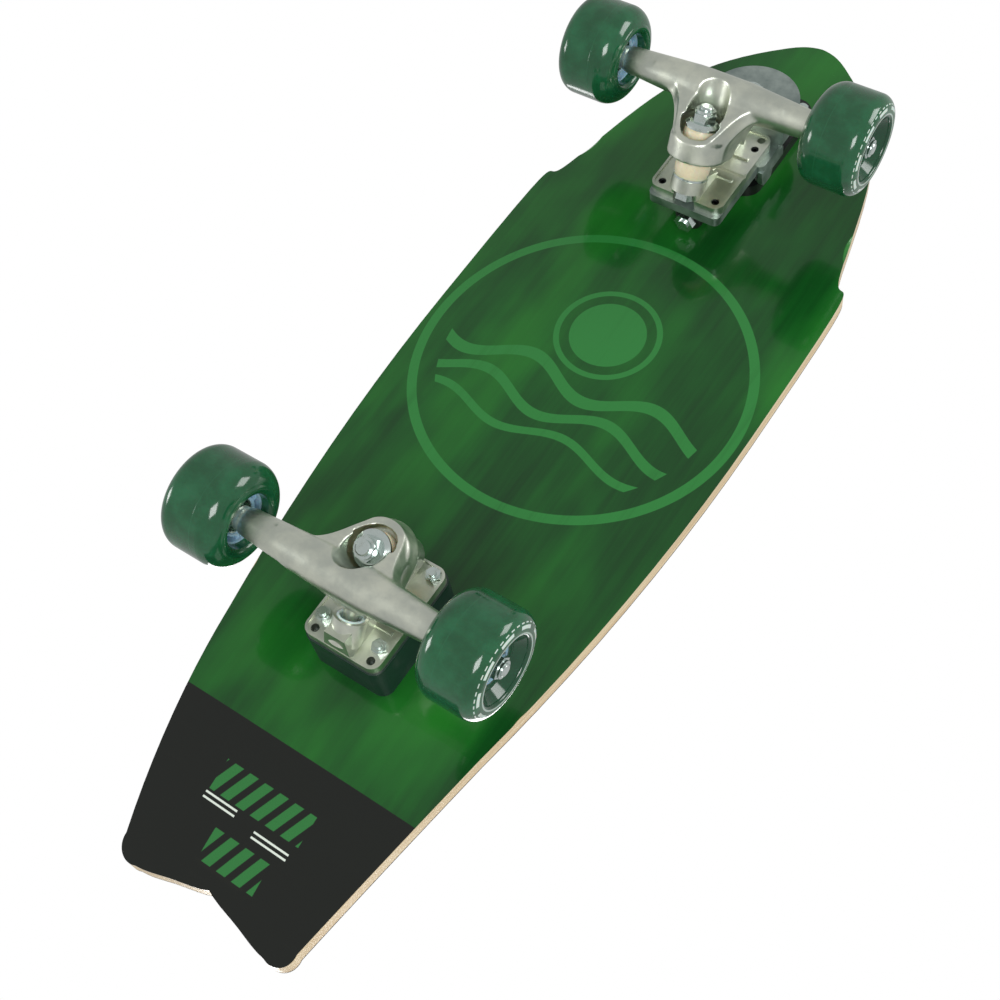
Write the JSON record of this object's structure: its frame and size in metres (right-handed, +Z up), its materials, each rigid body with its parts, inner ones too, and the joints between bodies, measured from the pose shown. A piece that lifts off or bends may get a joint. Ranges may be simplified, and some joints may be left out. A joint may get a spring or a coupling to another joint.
{
  "type": "skateboard",
  "caption": "Surf-style cruiser skateboard with a pointed nose, swallow tail, soft wide wheels and a sprung swinging front truck.",
  "frame": {"origin": "on the floor under the middle of the deck, the board standing on its wheels", "axes": "+Z up from the floor to the deck's top; +Y along the board from the nose to the tail; +X to the rider's left when facing the nose"},
  "size_m": [0.2442, 0.7529, 0.162],
  "materials": {
    "arm_aluminium": "matte grey casting",
    "black_casting": "satin black",
    "black_steel": "black oxide",
    "bronze": "plain bearing bronze",
    "bushing_urethane": "cream",
    "cast_aluminium": "satin polished casting",
    "core_plastic": "pale blue grey",
    "cup_urethane": "milky white",
    "grip": "fine abrasive grain",
    "maple": "lacquered edge",
    "riser_plastic": "moulded black",
    "roller_urethane": "black",
    "spring_steel": "plain wire",
    "stained_veneer": "gloss lacquer over a green stain",
    "top_veneer": "lacquered",
    "wheel_urethane": "glossy teal green",
    "zinc_steel": "bright zinc plate"
  },
  "bodies": {
    "deck": {"deck_core": "maple", "deck_bottom_veneer": "stained_veneer", "deck_top_veneer": "top_veneer", "grip_tape": "grip", "rear_riser": "riser_plastic", "rear_deck_bolts": "zinc_steel", "rear_deck_locknuts": "zinc_steel", "front_deck_bolts": "zinc_steel", "front_deck_locknuts": "zinc_steel", "adapter_base": "black_casting", "swing_pivot_bolt": "zinc_steel", "swing_pivot_nut": "zinc_steel", "swing_pivot_washer": "zinc_steel", "swing_thrust_bearing": "zinc_steel", "return_springs": "spring_steel", "rear_baseplate": "cast_aluminium", "rear_pivot_cup": "cup_urethane", "rear_kingpin": "zinc_steel", "rear_kingpin_nut": "zinc_steel", "rear_kingpin_washers": "zinc_steel", "rear_boardside_bushing": "bushing_urethane", "rear_roadside_bushing": "bushing_urethane"},
    "swing_arm": {"swing_arm": "arm_aluminium", "swing_arm_sleeve": "bronze", "front_truck_screws": "black_steel", "support_roller_bolt": "zinc_steel", "front_baseplate": "cast_aluminium", "front_pivot_cup": "cup_urethane", "front_kingpin": "zinc_steel", "front_kingpin_nut": "zinc_steel", "front_kingpin_washers": "zinc_steel", "front_boardside_bushing": "bushing_urethane", "front_roadside_bushing": "bushing_urethane"},
    "front_hanger": {"front_hanger": "cast_aluminium", "front_axle": "zinc_steel", "front_axle_nuts": "zinc_steel", "front_speed_washers": "zinc_steel", "front_bearing_inner_rings": "zinc_steel", "front_bearing_spacers": "zinc_steel"},
    "rear_hanger": {"rear_hanger": "cast_aluminium", "rear_axle": "zinc_steel", "rear_axle_nuts": "zinc_steel", "rear_speed_washers": "zinc_steel", "rear_bearing_inner_rings": "zinc_steel", "rear_bearing_spacers": "zinc_steel"},
    "support_roller": {"support_roller": "roller_urethane"},
    "front_left_wheel": {"front_left_tyre": "wheel_urethane", "front_left_wheel_core": "core_plastic", "front_left_bearings": "zinc_steel"},
    "front_right_wheel": {"front_right_tyre": "wheel_urethane", "front_right_wheel_core": "core_plastic", "front_right_bearings": "zinc_steel"},
    "rear_left_wheel": {"rear_left_tyre": "wheel_urethane", "rear_left_wheel_core": "core_plastic", "rear_left_bearings": "zinc_steel"},
    "rear_right_wheel": {"rear_right_tyre": "wheel_urethane", "rear_right_wheel_core": "core_plastic", "rear_right_bearings": "zinc_steel"}
  },
  "joints": [
    {"name": "arm_swing", "type": "hinge", "parent": "deck", "child": "swing_arm", "pos_m": [0, -0.2645, 0.095], "axis": [0, 0, 1], "range_deg": [-25, 25], "stiffness_Nm_per_rad": 8, "deforming": ["return_springs"]},
    {"name": "front_truck_lean", "type": "hinge", "parent": "swing_arm", "child": "front_hanger", "pos_m": [0, -0.23472, 0.07697], "axis": [0, 0.891, -0.454], "range_deg": [-8, 8], "stiffness_Nm_per_rad": 60, "deforming": ["front_boardside_bushing", "front_roadside_bushing"]},
    {"name": "rear_truck_lean", "type": "hinge", "parent": "deck", "child": "rear_hanger", "pos_m": [0, 0.20472, 0.07697], "axis": [0, -0.891, -0.454], "range_deg": [-8, 8], "stiffness_Nm_per_rad": 60, "deforming": ["rear_boardside_bushing", "rear_roadside_bushing"]},
    {"name": "front_left_wheel_spin", "type": "hinge", "parent": "front_hanger", "child": "front_left_wheel", "pos_m": [0.0893, -0.2234, 0.0335], "axis": [1, 0, 0], "continuous": true},
    {"name": "front_right_wheel_spin", "type": "hinge", "parent": "front_hanger", "child": "front_right_wheel", "pos_m": [-0.0893, -0.2234, 0.0335], "axis": [1, 0, 0], "continuous": true},
    {"name": "rear_left_wheel_spin", "type": "hinge", "parent": "rear_hanger", "child": "rear_left_wheel", "pos_m": [0.0893, 0.1934, 0.0335], "axis": [1, 0, 0], "continuous": true},
    {"name": "rear_right_wheel_spin", "type": "hinge", "parent": "rear_hanger", "child": "rear_right_wheel", "pos_m": [-0.0893, 0.1934, 0.0335], "axis": [1, 0, 0], "continuous": true},
    {"name": "support_roller_spin", "type": "hinge", "parent": "swing_arm", "child": "support_roller", "pos_m": [0, -0.1834, 0.1107], "axis": [0, 1, 0], "continuous": true}
  ]
}
